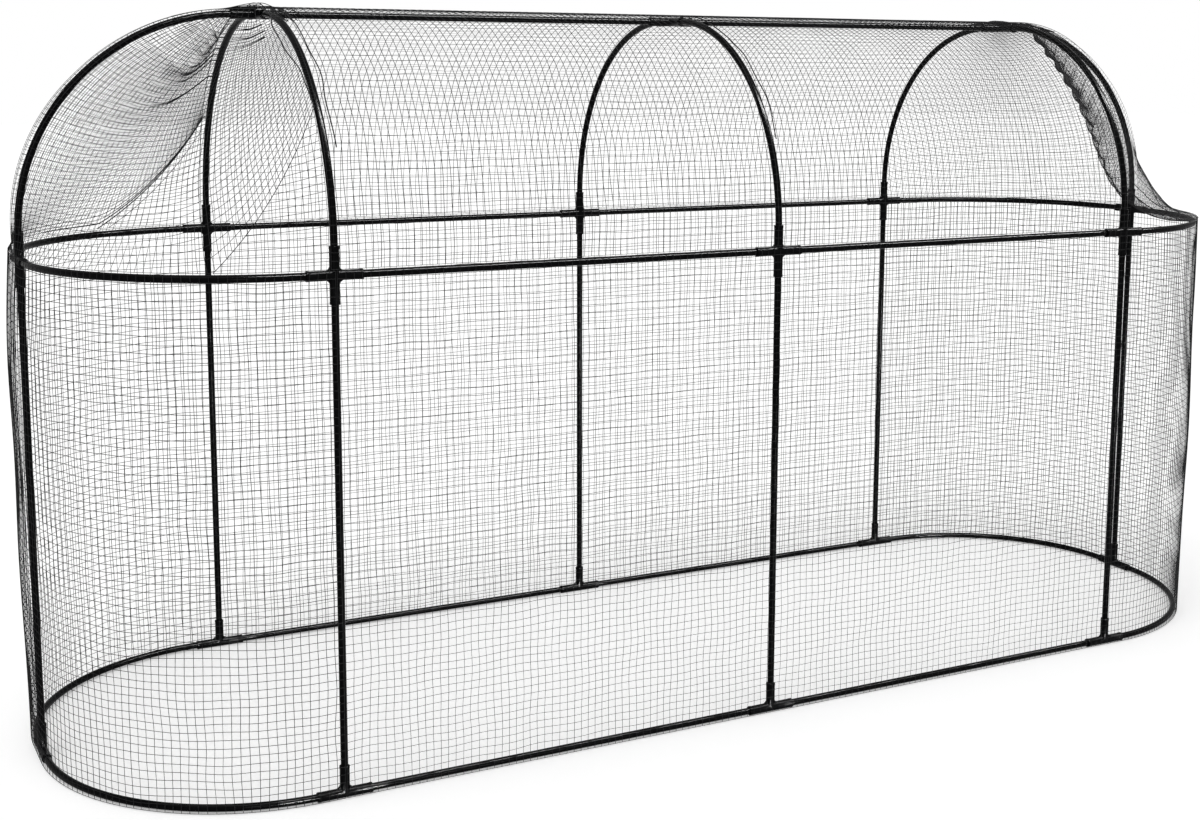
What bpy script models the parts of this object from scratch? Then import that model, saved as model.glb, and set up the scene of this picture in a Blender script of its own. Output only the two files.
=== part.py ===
"""A fruit cage: a push-fit tube frame with round ends and an arched roof, under a net cover.

The frame stands on z = 0 with its length along X, its front towards -Y and its origin at the
middle of its plan. Sixteen quarter bends of one size make the two rings, the three arches and
the two hips. Moulded tees and crosses hold the tubes in blind sockets.
"""

import math

import bmesh
import bpy
from mathutils import Matrix, Vector

# Frame, measured between tube centrelines
HALF_WIDTH = 0.600
BAY_LENGTH = 1.200
WAIST_HEIGHT = 1.250

# Steel tube
TUBE_DIAMETER = 0.018
TUBE_WALL = 0.0008

# Moulded connectors
SLEEVE_WALL = 0.0027
SLEEVE_REACH = 0.068
SOCKET_FLOOR = 0.014
SOCKET_GAP = 0.0003
WEB_THICKNESS = 0.008
WEB_FILLET = 0.016
BEND_IN_MOUTH = 0.008

# Net cover
STRAND = 0.002
NET_GAP = 0.0003
HEM_DROP = 0.009
HEM_RISE = 0.011
ARCH_HEM = 0.012
SEAM_STEP = 0.004
HIP_SEAM_WIDTH = 0.020
CROWN_GATHER = 0.090

# How much tighter a hood is drawn from crown to ring than from arch to hip
LEFT_HOOD_PULL = 1.0
RIGHT_HOOD_PULL = 3.0

# Counts
TUBE_SIDES = 8
BEND_STEPS = 7
FILLET_STEPS = 3
WALL_GAPS_ALONG = 9
WALL_GAPS_UP = 5
END_GAPS_PER_BEND = 7
END_GAPS_UP = 5
ROOF_GAPS_ALONG = 9
ROOF_GAPS_PER_BEND = 6
HOOD_GAPS_ROUND = 5
HOOD_GAPS_DOWN = 5
FILM_ROUNDS = 80

# Sizes that follow from those above
TUBE_RADIUS = TUBE_DIAMETER / 2
BORE_RADIUS = TUBE_RADIUS + SOCKET_GAP
SLEEVE_RADIUS = BORE_RADIUS + SLEEVE_WALL
TUBE_STOP = SOCKET_FLOOR + SOCKET_GAP
BEND_STRAIGHT = SLEEVE_REACH - BEND_IN_MOUTH
BEND_RADIUS = HALF_WIDTH - BEND_STRAIGHT
BEND_LENGTH = 2 * BEND_STRAIGHT + BEND_RADIUS * math.pi / 2
BASE_HEIGHT = SLEEVE_RADIUS
RING_HEIGHT = BASE_HEIGHT + WAIST_HEIGHT
CROWN_HEIGHT = RING_HEIGHT + HALF_WIDTH
NET_OFFSET = SLEEVE_RADIUS + NET_GAP + STRAND / 2
SIDE_NAMES = {-1: "left", 0: "middle", 1: "right"}
FACE_NAMES = {-1: "front", 1: "back"}

AXIS_X = Vector((1, 0, 0))
AXIS_Y = Vector((0, 1, 0))
AXIS_Z = Vector((0, 0, 1))


def clear_scene():
    for old in list(bpy.data.objects):
        bpy.data.objects.remove(old)


def material(name, colour, roughness, metallic):
    made = bpy.data.materials.new(name)
    made.use_nodes = True
    made.diffuse_color = (*colour, 1)
    shader = made.node_tree.nodes["Principled BSDF"]
    shader.inputs["Base Color"].default_value = (*colour, 1)
    shader.inputs["Roughness"].default_value = roughness
    shader.inputs["Metallic"].default_value = metallic
    return made


def finished(mesh, bm, finish, sharp_degrees=50):
    """Writes the shape into the mesh, with outward faces, smooth round sides and its material."""
    bmesh.ops.recalc_face_normals(bm, faces=bm.faces)
    bm.to_mesh(mesh)
    bm.free()
    mesh.shade_smooth()
    mesh.set_sharp_from_angle(angle=math.radians(sharp_degrees))
    mesh.materials.append(finish)
    return mesh


def place(name, mesh, location, x_axis, z_axis, parent):
    """Puts a piece with its local X and Z along the two given directions."""
    obj = bpy.data.objects.new(name, mesh)
    bpy.context.scene.collection.objects.link(obj)
    obj.parent = parent
    y_axis = z_axis.cross(x_axis)
    turn = Matrix((x_axis, y_axis, z_axis)).transposed().to_quaternion()
    obj.rotation_mode = "QUATERNION"
    obj.rotation_quaternion = turn
    obj.location = location
    return obj


# Tubes


def section(radius, circumscribed=False):
    """Corners of a regular polygon with flats square to both axes."""
    corner = radius / math.cos(math.pi / TUBE_SIDES) if circumscribed else radius
    angles = [(k + 0.5) * 2 * math.pi / TUBE_SIDES for k in range(TUBE_SIDES)]
    return [(corner * math.cos(a), corner * math.sin(a)) for a in angles]


def ring_at(bm, centre, tangent, radius):
    """One round of a tube's corners, square to the tangent. The tube stays in the XZ plane."""
    side = tangent.cross(AXIS_Y)
    return [bm.verts.new(centre + side * u + AXIS_Y * v) for u, v in section(radius)]


def join_rounds(bm, one, other):
    count = len(one)
    for k in range(count):
        following = (k + 1) % count
        bm.faces.new((one[k], one[following], other[following], other[k]))


def tube_mesh(name, stations, finish):
    """A hollow tube with open ends through the given centres and tangents."""
    bm = bmesh.new()
    inner_radius = TUBE_RADIUS - TUBE_WALL
    outer = [ring_at(bm, centre, tangent, TUBE_RADIUS) for centre, tangent in stations]
    inner = [ring_at(bm, centre, tangent, inner_radius) for centre, tangent in stations]
    for before, after in zip(outer, outer[1:]):
        join_rounds(bm, before, after)
    for before, after in zip(inner, inner[1:]):
        join_rounds(bm, before, after)
    join_rounds(bm, outer[0], inner[0])
    join_rounds(bm, outer[-1], inner[-1])
    return finished(bpy.data.meshes.new(name), bm, finish)


def straight_mesh(name, between_centres, finish):
    """A straight tube along X that fills the sockets of two connectors so far apart."""
    ends = (TUBE_STOP, between_centres - TUBE_STOP)
    return tube_mesh(name, [(AXIS_X * x, AXIS_X) for x in ends], finish)


def bend_mesh(name, finish):
    """The quarter bend: from the origin along X, round towards Z, with straight ends."""
    centre = Vector((BEND_STRAIGHT, 0, BEND_RADIUS))
    stations = [(AXIS_X * TUBE_STOP, AXIS_X)]
    for step in range(BEND_STEPS + 1):
        angle = step / BEND_STEPS * math.pi / 2
        across = Vector((math.sin(angle), 0, -math.cos(angle)))
        along = Vector((math.cos(angle), 0, math.sin(angle)))
        stations.append((centre + across * BEND_RADIUS, along))
    end = Vector((HALF_WIDTH, 0, HALF_WIDTH - TUBE_STOP))
    stations.append((end, AXIS_Z))
    return tube_mesh(name, stations, finish)


# Connectors


def prism(bm, profile, low, high, axis):
    """Adds a prism of (u, v) points along the axis and closes both ends."""
    first, second = (AXIS_Y, AXIS_Z) if axis == AXIS_X else (AXIS_X, AXIS_Y)
    if axis == AXIS_Y:
        first, second = AXIS_X, AXIS_Z
    ends = []
    for level in (low, high):
        ends.append([bm.verts.new(axis * level + first * u + second * v) for u, v in profile])
    join_rounds(bm, ends[0], ends[1])
    bm.faces.new(ends[0])
    bm.faces.new(reversed(ends[1]))


def solid(name, profile, low, high, axis):
    """A closed prism as a hidden helper object for the connector's booleans."""
    bm = bmesh.new()
    prism(bm, profile, low, high, axis)
    bmesh.ops.recalc_face_normals(bm, faces=bm.faces)
    mesh = bpy.data.meshes.new(name)
    bm.to_mesh(mesh)
    bm.free()
    obj = bpy.data.objects.new(name, mesh)
    bpy.context.scene.collection.objects.link(obj)
    obj.hide_render = True
    obj.display_type = "WIRE"
    return obj


def web_outline(arms):
    """The flat web in the XZ plane, with a concave fillet in each corner between two arms."""
    inside = SLEEVE_RADIUS - WEB_THICKNESS / 4
    far = inside + WEB_FILLET
    points = []
    quarters = ((1, 1), (-1, 1), (-1, -1), (1, -1))
    for sign_x, sign_z in quarters:
        if sign_z < 0 and "down" not in arms:
            points.append((sign_x * far, 0))
            continue
        arc = []
        for step in range(FILLET_STEPS + 1):
            angle = step / FILLET_STEPS * math.pi / 2
            drop = WEB_FILLET * math.sin(angle)
            reach = WEB_FILLET * math.cos(angle)
            arc.append((sign_x * (far - drop), sign_z * (far - reach)))
        points += arc if sign_x * sign_z > 0 else reversed(arc)
    return points


def connector_mesh(name, arms, finish):
    """A moulded connector: round sleeves, a filleted web between them, and blind sockets."""
    outer = section(SLEEVE_RADIUS, circumscribed=True)
    bore = section(BORE_RADIUS, circumscribed=True)
    low = -SLEEVE_REACH if "down" in arms else 0
    body = solid(name + "_body", outer, -SLEEVE_REACH, SLEEVE_REACH, AXIS_X)
    upright = solid(name + "_upright", outer, low, SLEEVE_REACH, AXIS_Z)
    half_web = WEB_THICKNESS / 2
    web = solid(name + "_web", web_outline(arms), -half_web, half_web, AXIS_Y)
    past_mouth = SLEEVE_REACH + SLEEVE_WALL
    spans = {
        "left": (-past_mouth, -SOCKET_FLOOR, AXIS_X),
        "right": (SOCKET_FLOOR, past_mouth, AXIS_X),
        "up": (SOCKET_FLOOR, past_mouth, AXIS_Z),
        "down": (-past_mouth, -SOCKET_FLOOR, AXIS_Z),
    }
    sockets = [solid(name + "_socket_" + arm, bore, *spans[arm]) for arm in arms]
    for operation, tools in (("UNION", (upright, web)), ("DIFFERENCE", sockets)):
        for tool in tools:
            step = body.modifiers.new(tool.name, "BOOLEAN")
            step.operation = operation
            step.object = tool
    bpy.context.view_layer.update()
    graph = bpy.context.evaluated_depsgraph_get()
    shape = bpy.data.meshes.new_from_object(body.evaluated_get(graph))
    for helper in (body, upright, web, *sockets):
        bpy.data.objects.remove(helper)
    bm = bmesh.new()
    bm.from_mesh(shape)
    return finished(shape, bm, finish)


# Net cover


def bend_point(start, corner, end, share, offset):
    """A point on a quarter bend's centreline by share of its length, moved outwards."""
    first = (corner - start).normalized()
    second = (end - corner).normalized()
    along = share * BEND_LENGTH
    turned = (along - BEND_STRAIGHT) / BEND_RADIUS
    angle = min(max(turned, 0), math.pi / 2)
    outward = first * math.sin(angle) - second * math.cos(angle)
    centre = corner - first * BEND_RADIUS + second * BEND_RADIUS
    point = centre + outward * (BEND_RADIUS + offset)
    point += first * min(along - BEND_STRAIGHT, 0)
    point += second * max(along - BEND_LENGTH + BEND_STRAIGHT, 0)
    return point


def net_panel(name, rows, finish, parent):
    """A net of square strands over a grid of points."""
    bm = bmesh.new()
    grid = [[bm.verts.new(point) for point in row] for row in rows]
    for upper, lower in zip(grid, grid[1:]):
        for k in range(len(upper) - 1):
            bm.faces.new((upper[k], upper[k + 1], lower[k + 1], lower[k]))
    bmesh.ops.recalc_face_normals(bm, faces=bm.faces)
    mesh = bpy.data.meshes.new(name)
    bm.to_mesh(mesh)
    bm.free()
    mesh.materials.append(finish)
    obj = bpy.data.objects.new(name, mesh)
    bpy.context.scene.collection.objects.link(obj)
    obj.parent = parent
    strands = obj.modifiers.new("strands", "WIREFRAME")
    strands.thickness = STRAND
    strands.offset = 0
    strands.use_boundary = True
    strands.use_replace = True
    strands.use_even_offset = True
    return obj


def shares(count, low=0.0, high=1.0):
    return [low + (high - low) * k / count for k in range(count + 1)]


def wall_net(face, finish, parent):
    """A straight wall's net, from beside the base rail to just over the waist rail."""
    half = BAY_LENGTH - SEAM_STEP / 2
    y = face * (HALF_WIDTH + NET_OFFSET)
    levels = shares(WALL_GAPS_UP, BASE_HEIGHT - HEM_DROP, RING_HEIGHT + HEM_RISE)
    places = shares(WALL_GAPS_ALONG, -half, half)
    rows = [[Vector((x, y, z)) for x in places] for z in levels]
    net_panel("net_" + FACE_NAMES[face], rows, finish, parent)


def ring_point(side, face, share, offset, z):
    """A point over the bend of a ring, from the corner post (0) to the end post (1)."""
    start = Vector((side * BAY_LENGTH, face * HALF_WIDTH, z))
    corner = start + AXIS_X * side * HALF_WIDTH
    end = corner - AXIS_Y * face * HALF_WIDTH
    return bend_point(start, corner, end, share, offset)


def arch_point(x, face, share, offset):
    """A point over an arch's bend, from the waist (0) to the crown (1)."""
    start = Vector((x, face * HALF_WIDTH, RING_HEIGHT))
    corner = start + AXIS_Z * HALF_WIDTH
    end = corner - AXIS_Y * face * HALF_WIDTH
    return bend_point(start, corner, end, share, offset)


def hip_point(side, y, share, offset):
    """A point over a hip, from the end post (0) to the crown (1)."""
    start = Vector((side * (BAY_LENGTH + HALF_WIDTH), y, RING_HEIGHT))
    corner = start + AXIS_Z * HALF_WIDTH
    end = corner - AXIS_X * side * HALF_WIDTH
    return bend_point(start, corner, end, share, offset)


def end_net(side, finish, parent):
    """A round end's wall of net, which follows the ring from corner post to corner post."""
    first = SEAM_STEP / 2 / BEND_LENGTH
    rows = []
    for z in shares(END_GAPS_UP, BASE_HEIGHT - HEM_DROP, RING_HEIGHT + HEM_RISE):
        steps = shares(END_GAPS_PER_BEND, first, 1)
        front = [ring_point(side, -1, share, NET_OFFSET, z) for share in steps]
        back = [ring_point(side, 1, share, NET_OFFSET, z) for share in steps]
        rows.append(front + back[-2::-1])
    net_panel("net_" + SIDE_NAMES[side] + "_end", rows, finish, parent)


def roof_net(finish, parent):
    """The roof's net, from the front waist rail over the arches to the back one."""
    half = BAY_LENGTH + ARCH_HEM
    first = (HEM_RISE + SEAM_STEP) / BEND_LENGTH
    rows = []
    for x in shares(ROOF_GAPS_ALONG, -half, half):
        steps = shares(ROOF_GAPS_PER_BEND, first, 1)
        front = [arch_point(x, -1, share, NET_OFFSET) for share in steps]
        back = [arch_point(x, 1, share, NET_OFFSET) for share in steps]
        rows.append(front + back[-2::-1])
    net_panel("net_roof", rows, finish, parent)


def relaxed(rows, pull):
    """Moves the inner points of a grid until each rests between its neighbours, as a film lies."""
    for _ in range(FILM_ROUNDS):
        for i in range(1, len(rows) - 1):
            for j in range(1, len(rows[0]) - 1):
                along = rows[i - 1][j] + rows[i + 1][j]
                beside = rows[i][j - 1] + rows[i][j + 1]
                rows[i][j] = (along * pull + beside) / (2 * pull + 2)
    return rows


def hood_half(side, face, pull):
    """Half a hood as rows from the crown down, each from the arch to the hip's seam."""
    arch_x = side * (BAY_LENGTH + ARCH_HEM + SEAM_STEP)
    seam_y = face * HIP_SEAM_WIDTH / 2
    hem = HEM_RISE + SEAM_STEP
    steps = shares(HOOD_GAPS_DOWN, 1 - CROWN_GATHER / BEND_LENGTH, hem / BEND_LENGTH)
    arch = [arch_point(arch_x, face, s, NET_OFFSET) for s in steps]
    hip = [hip_point(side, seam_y, s, NET_OFFSET) for s in steps]
    rows = []
    for high, low in zip(arch, hip):
        rows.append([high.lerp(low, across) for across in shares(HOOD_GAPS_ROUND)])
    first = (ARCH_HEM + SEAM_STEP) / BEND_LENGTH
    last = 1 - HIP_SEAM_WIDTH / 2 / BEND_LENGTH
    z = RING_HEIGHT + hem
    around = shares(HOOD_GAPS_ROUND, first, last)
    rows[-1] = [ring_point(side, face, s, NET_OFFSET, z) for s in around]
    return relaxed(rows, pull)


def hood_net(side, pull, finish, parent):
    """The net over a round end, drawn tight between the arch, the hip and the waist ring."""
    front = hood_half(side, -1, pull)
    back = hood_half(side, 1, pull)
    rows = [one + other[::-1] for one, other in zip(front, back)]
    net_panel("net_" + SIDE_NAMES[side] + "_hood", rows, finish, parent)


# Assembly


def add_rings(meshes, parent):
    """Both rings, the posts between them, and the connectors where they meet."""
    for z, level in ((BASE_HEIGHT, "base"), (RING_HEIGHT, "waist")):
        joint = meshes["tee"] if level == "base" else meshes["cross"]
        kind = "_tee_" if level == "base" else "_cross_"
        for side in (-1, 1):
            name = level + kind + SIDE_NAMES[side] + "_end"
            location = Vector((side * (BAY_LENGTH + HALF_WIDTH), 0, z))
            place(name, joint, location, AXIS_Y, AXIS_Z, parent)
            for face in (-1, 1):
                at = "_" + FACE_NAMES[face] + "_" + SIDE_NAMES[side]
                corner = Vector((side * BAY_LENGTH, face * HALF_WIDTH, z))
                turned = -AXIS_Y * face
                place(level + "_bend" + at, meshes["bend"], corner, AXIS_X * side, turned, parent)
                middle = Vector((0, face * HALF_WIDTH, z))
                place(level + "_rail" + at, meshes["bay"], middle, AXIS_X * side, AXIS_Z, parent)
        for face in (-1, 1):
            for side in (-1, 0, 1):
                at = FACE_NAMES[face] + "_" + SIDE_NAMES[side]
                location = Vector((side * BAY_LENGTH, face * HALF_WIDTH, z))
                place(level + kind + at, joint, location, AXIS_X, AXIS_Z, parent)


def add_posts(meshes, parent):
    for face in (-1, 1):
        for side in (-1, 0, 1):
            at = FACE_NAMES[face] + "_" + SIDE_NAMES[side]
            foot = Vector((side * BAY_LENGTH, face * HALF_WIDTH, BASE_HEIGHT))
            place("post_" + at, meshes["post"], foot, AXIS_Z, AXIS_X, parent)
    for side in (-1, 1):
        foot = Vector((side * (BAY_LENGTH + HALF_WIDTH), 0, BASE_HEIGHT))
        place("post_" + SIDE_NAMES[side] + "_end", meshes["post"], foot, AXIS_Z, AXIS_X, parent)


def add_roof_frame(meshes, parent):
    """Arches, hips, ridge rails and the crosses at the three crowns."""
    for side in (-1, 0, 1):
        crown = Vector((side * BAY_LENGTH, 0, CROWN_HEIGHT))
        place("crown_cross_" + SIDE_NAMES[side], meshes["cross"], crown, AXIS_X, AXIS_Y, parent)
        for face in (-1, 1):
            name = "arch_" + SIDE_NAMES[side] + "_" + FACE_NAMES[face]
            foot = Vector((side * BAY_LENGTH, face * HALF_WIDTH, RING_HEIGHT))
            place(name, meshes["bend"], foot, AXIS_Z, -AXIS_Y * face, parent)
    for side in (-1, 1):
        foot = Vector((side * (BAY_LENGTH + HALF_WIDTH), 0, RING_HEIGHT))
        place("hip_" + SIDE_NAMES[side], meshes["bend"], foot, AXIS_Z, -AXIS_X * side, parent)
        middle = Vector((0, 0, CROWN_HEIGHT))
        place("ridge_" + SIDE_NAMES[side], meshes["bay"], middle, AXIS_X * side, AXIS_Z, parent)


def add_net(finish, parent):
    for face in (-1, 1):
        wall_net(face, finish, parent)
    for side in (-1, 1):
        end_net(side, finish, parent)
    roof_net(finish, parent)
    hood_net(-1, LEFT_HOOD_PULL, finish, parent)
    hood_net(1, RIGHT_HOOD_PULL, finish, parent)


def build():
    clear_scene()
    steel = material("coated_steel", (0.011, 0.0113, 0.012), 0.36, 0.0)
    plastic = material("moulded_plastic", (0.013, 0.0133, 0.014), 0.58, 0.0)
    cord = material("net_cord", (0.03, 0.03, 0.032), 0.75, 0.0)
    root = bpy.data.objects.new("fruit_cage", None)
    bpy.context.scene.collection.objects.link(root)
    meshes = {
        "bay": straight_mesh("bay_tube", BAY_LENGTH, steel),
        "post": straight_mesh("post_tube", WAIST_HEIGHT, steel),
        "bend": bend_mesh("quarter_bend", steel),
        "tee": connector_mesh("tee", ("left", "right", "up"), plastic),
        "cross": connector_mesh("cross", ("left", "right", "up", "down"), plastic),
    }
    add_rings(meshes, root)
    add_posts(meshes, root)
    add_roof_frame(meshes, root)
    add_net(cord, root)


build()
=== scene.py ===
# %% [markdown]
# # A fruit cage: black tube frame under a fine net
#
# The real object is a walk-in cage for fruit bushes. Steel tubes push into moulded connectors,
# and a soft black net is drawn over them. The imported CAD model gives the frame: it is loaded here
# once and never moved, and every piece made below takes the place of one of its solids.

from math import cos, pi, radians, sin

import bmesh
import bpy
import numpy as np
from mathutils import Matrix, Vector, noise


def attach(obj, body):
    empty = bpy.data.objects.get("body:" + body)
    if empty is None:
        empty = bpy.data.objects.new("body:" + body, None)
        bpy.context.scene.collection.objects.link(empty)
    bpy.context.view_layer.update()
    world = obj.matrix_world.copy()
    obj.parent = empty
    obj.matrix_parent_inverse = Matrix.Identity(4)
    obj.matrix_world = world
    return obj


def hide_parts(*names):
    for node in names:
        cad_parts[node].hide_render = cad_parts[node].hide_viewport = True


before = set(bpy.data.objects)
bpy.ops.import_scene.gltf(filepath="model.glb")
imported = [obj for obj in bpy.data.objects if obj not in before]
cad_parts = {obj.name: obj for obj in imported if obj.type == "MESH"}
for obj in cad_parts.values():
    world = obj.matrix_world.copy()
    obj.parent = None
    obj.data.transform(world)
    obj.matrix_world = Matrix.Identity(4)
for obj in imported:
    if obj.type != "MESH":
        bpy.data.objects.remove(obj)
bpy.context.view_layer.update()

# %% [markdown]
# ## The sizes that the CAD source uses
#
# A scene script can't read the CAD source, so the driving sizes are written down once more.
# Everything else is worked out from them, which keeps each piece on the solid it stands for.

# %% Sizes in metres
HALF_WIDTH = 0.600
BAY_LENGTH = 1.200
WAIST_HEIGHT = 1.250
TUBE_RADIUS = 0.009
TUBE_WALL = 0.0008
SLEEVE_RADIUS = 0.012
BORE_RADIUS = 0.0093
SLEEVE_REACH = 0.068
SOCKET_FLOOR = 0.014
TUBE_STOP = 0.0143
BEND_STRAIGHT = 0.060
WEB_THICKNESS = 0.008
WEB_FILLET = 0.016

BEND_RADIUS = HALF_WIDTH - BEND_STRAIGHT
BEND_LENGTH = 2 * BEND_STRAIGHT + BEND_RADIUS * pi / 2
BASE_HEIGHT = SLEEVE_RADIUS
RING_HEIGHT = BASE_HEIGHT + WAIST_HEIGHT
CROWN_HEIGHT = RING_HEIGHT + HALF_WIDTH

X, Y, Z = Vector((1, 0, 0)), Vector((0, 1, 0)), Vector((0, 0, 1))
SIDE_NAMES = {-1: "left", 0: "middle", 1: "right"}
FACE_NAMES = {-1: "front", 1: "back"}
print("crown at", round(CROWN_HEIGHT, 4), "quarter bend", round(BEND_LENGTH, 4))

# %% [markdown]
# ## The camera
#
# The picture was taken from the left of the front, at about head height. The place and the turn
# come from fitting a camera to the lines of the tubes, and a small shift sets the framing.

# %% Make the camera
LENS = 51.335
SENSOR_WIDTH = 36
CAMERA_SHIFT = (-0.0466, -0.0816)
CAMERA_PLACE = (-2.3941, -4.3757, 1.7611)
YAW_PITCH_ROLL = (28.2781, -8.4604, 0.4282)


def add_object(name, data):
    """A new object in the scene that shows the given data."""
    obj = bpy.data.objects.new(name, data)
    bpy.context.scene.collection.objects.link(obj)
    return obj


camera_data = bpy.data.cameras.new("camera")
camera_data.sensor_width = SENSOR_WIDTH
camera_data.lens = LENS
camera_data.shift_x, camera_data.shift_y = CAMERA_SHIFT
camera = add_object("camera", camera_data)
camera.location = CAMERA_PLACE
yaw, pitch, roll = (radians(degrees) for degrees in YAW_PITCH_ROLL)
forward = Vector((sin(yaw) * cos(pitch), cos(yaw) * cos(pitch), sin(pitch)))
camera.rotation_mode = "QUATERNION"
facing = forward.to_track_quat("-Z", "Y")
camera.rotation_quaternion = Matrix.Rotation(-roll, 4, forward).to_quaternion() @ facing
bpy.context.scene.camera = camera
bpy.context.scene.view_settings.view_transform = "Standard"
print("camera looks along", tuple(round(part, 3) for part in forward))

# %% [markdown]
# ## Helpers for node materials
#
# A finish is a small tree of nodes around one Principled shader. A few short helpers keep the
# trees readable: they add a node, wire nodes together, and start a material or a shared group.


# %% Node helpers
def set_inputs(node, values):
    for name, value in values.items():
        node.inputs[name].default_value = value


def add_node(tree, kind, values=None, **settings):
    """A new node with its settings, then with values for some of its inputs."""
    made = tree.nodes.new("ShaderNode" + kind)
    for name, value in settings.items():
        setattr(made, name, value)
    set_inputs(made, values or {})
    return made


def wire(tree, *links):
    """Joins sockets. A link names a node, its output, another node and its input."""
    for source, output, target, entry in links:
        tree.links.new(source.outputs[output], target.inputs[entry])


def start_material(name):
    made = bpy.data.materials.new(name)
    made.use_nodes = True
    return made, made.node_tree, made.node_tree.nodes["Principled BSDF"]


def start_group(name, inputs, outputs):
    """A node group whose sockets have the given names and types."""
    group = bpy.data.node_groups.new(name, "ShaderNodeTree")
    for direction, sockets in (("INPUT", inputs), ("OUTPUT", outputs)):
        for label, kind in sockets.items():
            group.interface.new_socket(label, in_out=direction, socket_type="NodeSocket" + kind)
    return group, group.nodes.new("NodeGroupInput"), group.nodes.new("NodeGroupOutput")


# %% [markdown]
# ## A shared effect: grain
#
# Powder coat, moulded plastic and cord all have a fine relief and slightly uneven colour, only
# at different scales. One group makes both from two noises, so each material sets its own size.

# %% Grain group
scales = {"Relief Scale": "Float", "Patch Scale": "Float"}
grain_group, given, result = start_group(
    "grain",
    inputs={"Coordinates": "Vector", **scales, "Dark": "Color", "Light": "Color"},
    outputs={"Height": "Float", "Colour": "Color", "Patches": "Float"},
)
relief = add_node(grain_group, "TexNoise", {"Detail": 3.0, "Roughness": 0.6})
patches = add_node(grain_group, "TexNoise", {"Detail": 4.0, "Roughness": 0.55})
blend = add_node(grain_group, "Mix", data_type="RGBA")
wire(
    grain_group,
    (given, "Coordinates", relief, "Vector"),
    (given, "Coordinates", patches, "Vector"),
    (given, "Relief Scale", relief, "Scale"),
    (given, "Patch Scale", patches, "Scale"),
    (patches, "Fac", blend, "Factor"),
    (given, "Dark", blend, "A"),
    (given, "Light", blend, "B"),
    (relief, "Fac", result, "Height"),
    (patches, "Fac", result, "Patches"),
    (blend, "Result", result, "Colour"),
)
print("group outputs:", [item.name for item in grain_group.interface.items_tree])


# %% A finish from the grain
def grain_finish(name, relief_scale, patch_scale, dark, light, bump, depth, rough, gloss):
    """A material whose colour, relief and roughness come from the grain group."""
    made, tree, shader = start_material(name)
    set_inputs(shader, {"Specular IOR Level": gloss})
    place = add_node(tree, "TexCoord")
    grain = add_node(tree, "Group", node_tree=grain_group)
    set_inputs(grain, {"Relief Scale": relief_scale, "Patch Scale": patch_scale})
    set_inputs(grain, {"Dark": (*dark, 1), "Light": (*light, 1)})
    raised = add_node(tree, "Bump", {"Strength": bump, "Distance": depth})
    span = add_node(tree, "MapRange", {"To Min": rough[0], "To Max": rough[1]})
    wire(
        tree,
        (place, "Object", grain, "Coordinates"),
        (grain, "Colour", shader, "Base Color"),
        (grain, "Height", raised, "Height"),
        (raised, "Normal", shader, "Normal"),
        (grain, "Patches", span, "Value"),
        (span, "Result", shader, "Roughness"),
    )
    return made, shader


# %% [markdown]
# ## Powder-coated steel
#
# The tubes are steel under a satin black powder coat, which has a faint orange peel. A metal
# shader would be wrong, since the coat hides the steel. So the base is a very dark paint, with a
# low roughness that lets a lamp draw a thin line of light along a tube.

# %% Steel finish
coated_steel, _ = grain_finish(
    "coated_steel",
    relief_scale=700, patch_scale=9,
    dark=(0.0008, 0.0009, 0.001),
    light=(0.003, 0.0031, 0.0035),
    bump=0.08, depth=0.0004, rough=(0.14, 0.22), gloss=0.025,
)
print("tube finish:", coated_steel.name)

# %% [markdown]
# ## Moulded plastic
#
# The connectors are black plastic with a fine matt grain from the mould. The grain could be real
# relief on the mesh, but it is finer than a hair, so a bump in the material is enough. It is
# rougher than the tube's coat, and its patches are smaller.

# %% Plastic finish
moulded_plastic, _ = grain_finish(
    "moulded_plastic",
    relief_scale=1500, patch_scale=25,
    dark=(0.0012, 0.0013, 0.0015),
    light=(0.004, 0.0042, 0.0047),
    bump=0.2, depth=0.0003, rough=(0.22, 0.34), gloss=0.02,
)
print("connector finish:", moulded_plastic.name)

# %% [markdown]
# ## Net cord
#
# The net is made of thin black cord, dull and slightly furry. A sheen stands for the loose fibres,
# and costs far less than hairs would.

# %% Cord finish
net_cord, cord_shader = grain_finish(
    "net_cord",
    relief_scale=1200, patch_scale=40,
    dark=(0.008, 0.008, 0.0085),
    light=(0.020, 0.020, 0.0215),
    bump=0.5, depth=0.0003, rough=(0.65, 0.85), gloss=0.02,
)
set_inputs(cord_shader, {"Sheen Weight": 0.05, "Sheen Roughness": 0.4})
print("net finish:", net_cord.name)

# %% [markdown]
# ## Placing a piece
#
# Many pieces share one mesh, as many parts come out of one mould. Each is turned by naming where
# its own X and Z go, then rides on the frame's body and takes over from its CAD solid.

# %% Placing helpers
FINISHES = {"tube": coated_steel, "connector": moulded_plastic, "net": net_cord}


def put(name, shape, slot_name):
    """Adds a piece for the CAD node of the same name."""
    obj = add_object(name + "_look", shape)
    if not shape.materials:
        shape.materials.append(FINISHES[slot_name])
    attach(obj, "root")
    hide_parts(name)
    return obj


def put_turned(name, shape, slot_name, location, x_axis, z_axis):
    """Adds a piece whose own X and Z point along the given axes."""
    obj = put(name, shape, slot_name)
    turn = Matrix((x_axis, z_axis.cross(x_axis), z_axis)).transposed().to_4x4()
    obj.matrix_basis = Matrix.Translation(location) @ turn


def to_mesh(name, bm, sharp_degrees=40):
    """A mesh that is smooth but for edges sharper than the given angle."""
    bmesh.ops.recalc_face_normals(bm, faces=bm.faces)
    shape = bpy.data.meshes.new(name)
    bm.to_mesh(shape)
    bm.free()
    shape.shade_smooth()
    shape.set_sharp_from_angle(angle=radians(sharp_degrees))
    return shape


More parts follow.
